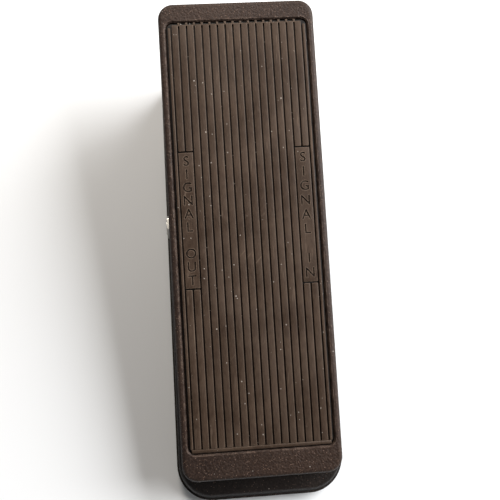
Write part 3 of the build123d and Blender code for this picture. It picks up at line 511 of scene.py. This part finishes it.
def add_bar(name, radius, start, end, y, z, sides):
    """A round or many-sided bar along X. A six-sided one has its flats above and below."""
    drop_choice()
    bpy.ops.mesh.primitive_cylinder_add(
        vertices=sides, radius=radius, depth=end - start, location=((start + end) / 2, y, z),
        rotation=(0.0, math.pi / 2, 0.0))
    bar = bpy.context.object
    bar.name = name
    settle(bar)
    return bar


def choose_edges(test):
    """In edit mode, selects the edges whose two ends pass a test."""
    form = bmesh.from_edit_mesh(bpy.context.edit_object.data)
    bpy.ops.mesh.select_mode(type="EDGE")
    bpy.ops.mesh.select_all(action="DESELECT")
    for edge in form.edges:
        if test(edge.verts[0].co, edge.verts[1].co):
            edge.select_set(True)
    form.select_flush_mode()
    bmesh.update_edit_mesh(bpy.context.edit_object.data)


def choose_faces(test):
    """In edit mode, selects the faces whose middle and normal pass a test."""
    form = bmesh.from_edit_mesh(bpy.context.edit_object.data)
    bpy.ops.mesh.select_mode(type="FACE")
    bpy.ops.mesh.select_all(action="DESELECT")
    for face in form.faces:
        if test(face.calc_center_median(), face.normal):
            face.select_set(True)
    form.select_flush_mode()
    bmesh.update_edit_mesh(bpy.context.edit_object.data)


def turned(name, outline, centre, axis, steps=56):
    """A turned piece. The outline's points are (along the axis, radius) from a centre on it."""
    along = Vector(axis).normalized()
    out = along.orthogonal().normalized()
    centre = Vector(centre)
    points = [centre + along * step + out * radius for step, radius in outline]
    drop_choice()
    bpy.ops.mesh.primitive_plane_add(size=mm, location=points[0])
    piece = bpy.context.object
    piece.name = name
    settle(piece)
    bpy.ops.object.mode_set(mode="EDIT")
    bpy.ops.mesh.merge(type="CENTER")
    bpy.ops.mesh.select_mode(type="VERT")
    bpy.ops.mesh.select_all(action="SELECT")
    for before, after in zip(points, points[1:]):
        bpy.ops.mesh.extrude_region_move(TRANSFORM_OT_translate={"value": after - before})
    bpy.ops.mesh.select_all(action="SELECT")
    bpy.ops.mesh.spin(steps=steps, angle=2 * math.pi, center=centre, axis=along)
    bpy.ops.mesh.select_all(action="SELECT")
    bpy.ops.mesh.remove_doubles(threshold=0.004 * mm)
    bpy.ops.mesh.normals_make_consistent(inside=False)
    bpy.ops.object.mode_set(mode="OBJECT")
    return piece


def shape_with(piece, tool, operation):
    """Cuts, joins or trims a piece with another, which is used up."""
    choose_only(piece)
    cut = piece.modifiers.new("cut", "BOOLEAN")
    cut.object = tool
    cut.operation = operation
    cut.solver = "EXACT"
    bpy.ops.object.modifier_apply(modifier=cut.name)
    bpy.data.objects.remove(tool)


def copy_of(piece, name, placing):
    """A copy with its own mesh, set in its place by a matrix."""
    copy = piece.copy()
    copy.data = piece.data.copy()
    copy.name = name
    bpy.context.collection.objects.link(copy)
    copy.data.transform(placing)
    return copy


def joined(name, pieces):
    """One object of several."""
    choose_only(*pieces)
    bpy.ops.object.join()
    pieces[0].name = name
    return pieces[0]


def hand_over(piece, finish, body, *nodes):
    """Gives a finished piece its material, smooth shading and its body, and hides the CAD nodes
    that it stands for.
    """
    piece.data.materials.clear()
    piece.data.materials.append(finishes[finish])
    choose_only(piece)
    bpy.ops.object.shade_smooth_by_angle(angle=math.radians(38))
    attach(piece, body)
    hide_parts(*nodes)


# ---- ribbed mat ----

rib_top = mat_high.z
groove_depth = 1.2 * mm
sheet_top = rib_top - groove_depth
rib_root = 0.3 * mm
groove_count = 18
groove_pitch = 4.08 * mm
groove_width = 0.68 * mm
side_step = 0.8 * mm
heel_step = 2.2 * mm
corner_round = 3.2 * mm
toe_step = 1.2 * mm
rib_heel = mat_low.y + heel_step
rib_toe = mat_high.y - toe_step
panel_heel = -16.5 * mm
panel_toe = 55.0 * mm


def groove_x(number):
    """Where the middle of a groove lies, counted from the output side."""
    return (number - (groove_count - 1) / 2) * groove_pitch


def mat_sheet():
    """The sheet under the ribs, with round corners and an eased upper edge."""
    sheet = add_block("tread_mat", mat_low, (mat_high.x, mat_high.y, sheet_top))
    bpy.ops.object.mode_set(mode="EDIT")
    choose_edges(lambda a, b: abs(a.x - b.x) < tiny and abs(a.y - b.y) < tiny)
    bpy.ops.mesh.bevel(offset=corner_round, segments=8, affect="EDGES")
    choose_edges(lambda a, b: min(a.z, b.z) > sheet_top - tiny)
    bpy.ops.mesh.bevel(offset=0.35 * mm, segments=3, affect="EDGES")
    bpy.ops.object.mode_set(mode="OBJECT")
    return sheet


def mat_rib(width, heel, toe):
    """One rib about x = 0: drafted sides, round shoulders and round ends."""
    rib = add_block("mat_rib", (-width / 2, heel, sheet_top - rib_root),
                    (width / 2, toe, rib_top))
    bpy.ops.object.mode_set(mode="EDIT")
    choose_edges(lambda a, b: abs(a.x - b.x) < tiny and abs(a.y - b.y) < tiny)
    bpy.ops.mesh.bevel(offset=0.5 * mm, segments=3, affect="EDGES")
    choose_faces(lambda middle, normal: normal.z > 0.9)
    bpy.ops.transform.resize(value=(1 - 0.12 * mm / width, 1.0, 1.0),
                             center_override=(0.0, (heel + toe) / 2, rib_top))
    choose_edges(lambda a, b: min(a.z, b.z) > rib_top - tiny)
    bpy.ops.mesh.bevel(offset=0.26 * mm, segments=3, affect="EDGES")
    bpy.ops.object.mode_set(mode="OBJECT")
    return rib


def mat_bar(low, high, ease):
    """A short bar with eased corners: a web between two ribs, or the bar along the heel."""
    bar = add_block("mat_bar", low, high)
    bpy.ops.object.mode_set(mode="EDIT")
    choose_edges(lambda a, b: max(a.z, b.z) > high[2] - tiny)
    bpy.ops.mesh.bevel(offset=ease, segments=3, affect="EDGES")
    bpy.ops.object.mode_set(mode="OBJECT")
    return bar


def ribbed_mat():
    """The sheet with its full ribs, its broken ribs beside the panels and its edge ribs."""
    width = groove_pitch - groove_width
    full = mat_rib(width, rib_heel, rib_toe)
    below = mat_rib(width, rib_heel, panel_heel - groove_width / 2)
    above = mat_rib(width, panel_toe + groove_width / 2, rib_toe)
    edge_start = mat_high.x - side_step
    edge_width = edge_start - groove_x(groove_count - 1) - groove_width / 2
    edge = mat_rib(edge_width, rib_heel, rib_toe - 1.5 * mm)
    pieces = [mat_sheet()]
    broken = (0, 1, groove_count - 3, groove_count - 2)
    for number in range(groove_count - 1):
        place = Matrix.Translation((groove_x(number) + groove_pitch / 2, 0.0, 0.0))
        for rib in ((below, above) if number in broken else (full,)):
            pieces.append(copy_of(rib, "mat_rib", place))
    for side in (-1, 1):
        place = Matrix.Translation((side * (edge_start - edge_width / 2), 0.0, 0.0))
        pieces.append(copy_of(edge, "mat_rib", place))
    web = mat_bar((-0.55 * mm, rib_toe - 0.5 * mm, sheet_top - rib_root),
                  (0.55 * mm, mat_high.y - 0.05 * mm, rib_top - 0.1 * mm), 0.12 * mm)
    for number in range(1, groove_count - 1):
        pieces.append(copy_of(web, "mat_web", Matrix.Translation((groove_x(number), 0.0, 0.0))))
    pieces.append(mat_bar(
        (-edge_start + 0.5 * mm, mat_low.y + 0.2 * mm, sheet_top - rib_root),
        (edge_start - 0.5 * mm, rib_heel - 0.05 * mm, rib_top - 0.15 * mm), 0.55 * mm))
    for pattern in (full, below, above, edge, web):
        bpy.data.objects.remove(pattern)
    mat = joined("tread_mat", pieces)
    mat.data.transform(lean)
    return mat


def standing_letters(words, pitch):
    """Capital letters one above the other, as a mesh about its own middle."""
    drop_choice()
    bpy.ops.object.text_add()
    letters = bpy.context.object
    letters.data.body = "\n".join(words)
    letters.data.align_x = "CENTER"
    letters.data.size = 7.2 * mm
    letters.data.space_line = pitch / letters.data.size
    letters.data.extrude = 0.65 * mm
    letters.data.offset = 0.06 * mm
    letters.data.resolution_u = 4
    bpy.ops.object.convert(target="MESH")
    bpy.ops.object.mode_set(mode="EDIT")
    bpy.ops.mesh.select_all(action="SELECT")
    bpy.ops.mesh.remove_doubles(threshold=0.001 * mm)
    bpy.ops.mesh.normals_make_consistent(inside=False)
    bpy.ops.object.mode_set(mode="OBJECT")
    return letters


def label_panel(name, side, words, pitch):
    """A plain plate at the ribs' height with a generic word sunk into it."""
    inner = abs(groove_x(2)) + groove_width / 2
    outer = abs(groove_x(0)) - groove_width / 2
    low_x, high_x = sorted((side * inner, side * outer))
    panel = add_block(name, (low_x, panel_heel + groove_width / 2, sheet_top - rib_root),
                      (high_x, panel_toe - groove_width / 2, rib_top))
    bpy.ops.object.mode_set(mode="EDIT")
    choose_edges(lambda a, b: min(a.z, b.z) > rib_top - tiny)
    bpy.ops.mesh.bevel(offset=0.22 * mm, segments=3, affect="EDGES")
    bpy.ops.object.mode_set(mode="OBJECT")
    letters = standing_letters(words, pitch)
    corners = [Vector(corner) for corner in letters.bound_box]
    middle = (corners[0] + corners[6]) / 2
    place = Vector(((low_x + high_x) / 2, (panel_heel + panel_toe) / 2, rib_top))
    letters.data.transform(Matrix.Translation(place - middle))
    shape_with(panel, letters, "DIFFERENCE")
    panel.data.transform(lean)
    hand_over(panel, "pad_rubber", "treadle", "tread_pad")


# ---- jacks ----

thread_radius = 4.75 * mm      # clears the barrel
plug_bore = 3.25 * mm

def jack_washer(name, side, node):
    """A thin washer with eased edges and a sunk ring on its outer face."""
    low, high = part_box(node)
    face, back = (high.x, low.x) if side > 0 else (low.x, high.x)
    y, z = (low.y + high.y) / 2, (low.z + high.z) / 2
    radius, bore = (high.z - low.z) / 2, thread_radius
    thick = abs(face - back)
    ease = 0.15 * mm
    washer = turned(name, [
        (0.0, bore), (thick - ease, bore), (thick, bore + ease), (thick, radius - 1.0 * mm),
        (thick - ease, radius - 0.8 * mm), (thick - ease, radius - 0.5 * mm),
        (thick, radius - 0.35 * mm), (thick - ease, radius), (ease, radius),
        (0.0, radius - ease), (0.0, bore)], (back, y, z), (side, 0.0, 0.0))
    hand_over(washer, "jack_nickel", "base", node)


def jack_nut(name, side, node):
    """A hexagon nut, its corners chamfered at both faces, on the barrel's thread."""
    low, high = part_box(node)
    y, z = (low.y + high.y) / 2, (low.z + high.z) / 2
    corner = (high.z - low.z) / 2 / math.cos(math.pi / 6)
    nut = add_bar(name, corner, low.x, high.x, y, z, 6)
    trim = add_bar("nut_trim", corner + 0.05 * mm, low.x, high.x, y, z, 96)
    bpy.ops.object.mode_set(mode="EDIT")
    choose_edges(lambda a, b: abs(a.x - b.x) < tiny)
    bpy.ops.mesh.bevel(offset=0.8 * mm, segments=2, profile=0.5, affect="EDGES")
    bpy.ops.object.mode_set(mode="OBJECT")
    shape_with(nut, trim, "INTERSECT")
    middle = low.x if side > 0 else high.x
    thread = [(-1.0 * mm, 0.0), (-1.0 * mm, thread_radius), (1.6 * mm, thread_radius),
              (2.2 * mm, 5.25 * mm), (3.0 * mm, 5.25 * mm), (3.0 * mm, 0.0)]
    bore = turned("nut_bore", thread, (middle, y, z), (side, 0.0, 0.0))
    shape_with(nut, bore, "DIFFERENCE")
    hand_over(nut, "jack_nickel", "base", node)


def jack_barrel(name, side, node):
    """The threaded barrel with a countersunk mouth."""
    low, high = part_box(node)
    start = low.x if side > 0 else high.x
    length = high.x - low.x
    y, z = (low.y + high.y) / 2, (low.z + high.z) / 2
    radius, bore = (high.z - low.z) / 2, plug_bore
    pitch, root = 0.75 * mm, 0.4 * mm
    outline = [(0.0, bore), (0.0, radius)]
    turns = int((length - 0.8 * mm) / pitch)
    for turn in range(turns):
        outline.append(((turn + 0.35) * pitch, radius))
        outline.append(((turn + 0.70) * pitch, radius - root))
        outline.append(((turn + 0.80) * pitch, radius - root))
    outline += [(length - 0.6 * mm, radius), (length - 0.35 * mm, radius),
                (length, radius - 0.35 * mm), (length, bore + 0.5 * mm),
                (length - 0.5 * mm, bore), (0.0, bore)]
    barrel = turned(name, outline, (start, y, z), (side, 0.0, 0.0), 64)
    hand_over(barrel, "jack_nickel", "base", node)


# ---- feet, their screws and the bumpers ----

foot_radius = 8.0 * mm

def rubber_foot():
    """A round foot at the origin, sunk for its screw, with a bead round its base."""
    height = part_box("rubber_feet")[1].z
    return turned("rubber_foot", [
        (height, 2.0 * mm), (height, foot_radius), (height - 0.7 * mm, foot_radius),
        (height - 1.0 * mm, 7.7 * mm), (height - 1.4 * mm, 7.55 * mm), (0.9 * mm, 7.2 * mm),
        (0.35 * mm, 7.0 * mm), (0.08 * mm, 6.7 * mm), (0.0, 6.3 * mm), (0.0, 5.7 * mm),
        (0.35 * mm, 5.5 * mm), (0.35 * mm, 5.0 * mm), (0.0, 4.8 * mm), (0.0, 4.4 * mm),
        (0.25 * mm, 4.0 * mm), (2.6 * mm, 3.85 * mm), (2.6 * mm, 2.0 * mm),
        (height, 2.0 * mm)], (0.0, 0.0, 0.0), (0.0, 0.0, 1.0))


def foot_screw():
    """A pan-head screw at the origin, pointing up, with a cross recess."""
    low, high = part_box("foot_screws")
    bottom, top = low.z, high.z
    outline = [(bottom, 0.0), (bottom, 2.2 * mm), (bottom + 0.15 * mm, 3.0 * mm),
               (bottom + 0.6 * mm, 3.6 * mm), (bottom + 1.1 * mm, 3.78 * mm),
               (2.6 * mm, 3.78 * mm), (2.6 * mm, 1.95 * mm)]
    thread = 2.8 * mm
    while thread < top - 1.6 * mm:
        outline += [(thread, 1.95 * mm), (thread + 0.35 * mm, 1.6 * mm),
                    (thread + 0.45 * mm, 1.6 * mm)]
        thread += 0.8 * mm
    outline += [(top - 0.7 * mm, 1.7 * mm), (top, 1.0 * mm), (top, 0.0)]
    screw = turned("foot_screw", outline, (0.0, 0.0, 0.0), (0.0, 0.0, 1.0))
    for turn in (0, 1):
        long, thin = (2.2 * mm, 0.42 * mm) if turn == 0 else (0.42 * mm, 2.2 * mm)
        slot = add_block("recess", (-long, -thin, bottom - 1.0 * mm),
                         (long, thin, bottom + 1.15 * mm))
        bpy.ops.object.mode_set(mode="EDIT")
        choose_faces(lambda middle, normal: normal.z > 0.9)
        bpy.ops.transform.resize(value=(0.55 if turn == 0 else 0.8, 0.8 if turn == 0 else 0.55,
                                        1.0), center_override=(0.0, 0.0, bottom + 1.15 * mm))
        bpy.ops.object.mode_set(mode="OBJECT")
        shape_with(screw, slot, "DIFFERENCE")
    return screw


def feet():
    """Four feet and their screws, one at each corner of the plate."""
    far_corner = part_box("rubber_feet")[1]
    out_x = far_corner.x - foot_radius
    out_y = far_corner.y - foot_radius
    foot = rubber_foot()
    screw = foot_screw()
    corners = [("heel_left", -1, -1), ("heel_right", 1, -1), ("toe_left", -1, 1),
               ("toe_right", 1, 1)]
    for number, (corner, side, end) in enumerate(corners):
        place = Matrix.Translation((side * out_x, end * out_y, 0.0))
        spin = Matrix.Rotation(0.4 + 0.9 * number, 4, "Z")
        hand_over(copy_of(foot, "foot_" + corner, place), "foot_rubber", "base", "rubber_feet")
        hand_over(copy_of(screw, "foot_screw_" + corner, place @ spin), "plated_steel", "base",
                  "foot_screws")
    bpy.data.objects.remove(foot)
    bpy.data.objects.remove(screw)


def stop_bumpers(node, word, slope):
    """The two moulded bumpers of one end, each sunk in its pocket square to the roof there."""
    height, radius = 5.0 * mm, 6.0 * mm
    out = Vector((0.0, math.sin(slope), math.cos(slope)))
    for side, hand in ((-1, "left"), (1, "right")):
        points = [vertex.co for vertex in frame["nodes"][node].data.vertices
                  if vertex.co.x * side > 0]
        middle = Vector([(min(point[way] for point in points)
                          + max(point[way] for point in points)) / 2 for way in range(3)])
        bumper = turned(word + "_bumper_" + hand, [
            (0.0, 0.0), (0.0, radius - 0.3 * mm), (0.3 * mm, radius), (1.3 * mm, radius),
            (1.5 * mm, radius - 0.25 * mm), (1.9 * mm, radius - 0.3 * mm),
            (2.1 * mm, radius - 0.05 * mm), (2.7 * mm, radius - 0.1 * mm),
            (3.6 * mm, radius - 0.35 * mm), (4.3 * mm, radius - 0.8 * mm),
            (4.75 * mm, radius - 1.45 * mm), (height, radius - 2.3 * mm),
            (height, radius - 3.3 * mm), (4.8 * mm, radius - 3.7 * mm),
            (4.3 * mm, radius - 4.2 * mm), (4.1 * mm, radius - 4.9 * mm), (4.05 * mm, 0.0)],
            middle - out * height / 2, out)
        hand_over(bumper, "foot_rubber", "base", node)


# ---- floor ----

def pale_floor():
    """The pale surface that the pedal stands on."""
    drop_choice()
    bpy.ops.mesh.primitive_plane_add(size=6.0, location=(0.0, 0.0, 0.0))
    floor = bpy.context.object
    floor.name = "pale_floor"
    finish, tree, shader = blank_finish("floor_paper")
    place = own_place(tree)
    tone = blended(tree, cloud(tree, place, 3.0, 3.0, 0.6), (0.845, 0.86, 0.88, 1.0),
                   (0.88, 0.89, 0.90, 1.0))
    tree.links.new(tone, shader.inputs["Base Color"])
    raise_surface(tree, shader, cloud(tree, place, 1500.0, 2.0, 0.5), 0.00003, 0.2)
    shader.inputs["Roughness"].default_value = 0.85
    floor.data.materials.append(finish)


look_from_above()
studio()
pale_floor()
hand_over(ribbed_mat(), "pad_rubber", "treadle", "tread_pad")
label_panel("output_label", -1, "SIGNAL OUT", 6.9 * mm)
label_panel("input_label", 1, "SIGNAL IN", 7.6 * mm)
for word, side in (("input", 1), ("output", -1)):
    jack_washer(word + "_washer", side, word + "_jack_washer")
    jack_nut(word + "_nut", side, word + "_jack_nut")
    jack_barrel(word + "_barrel", side, word + "_jack_bushing")
feet()
stop_bumpers("heel_bumpers", "heel", -rest_tilt)
stop_bumpers("toe_bumpers", "toe", toe_down_tilt)
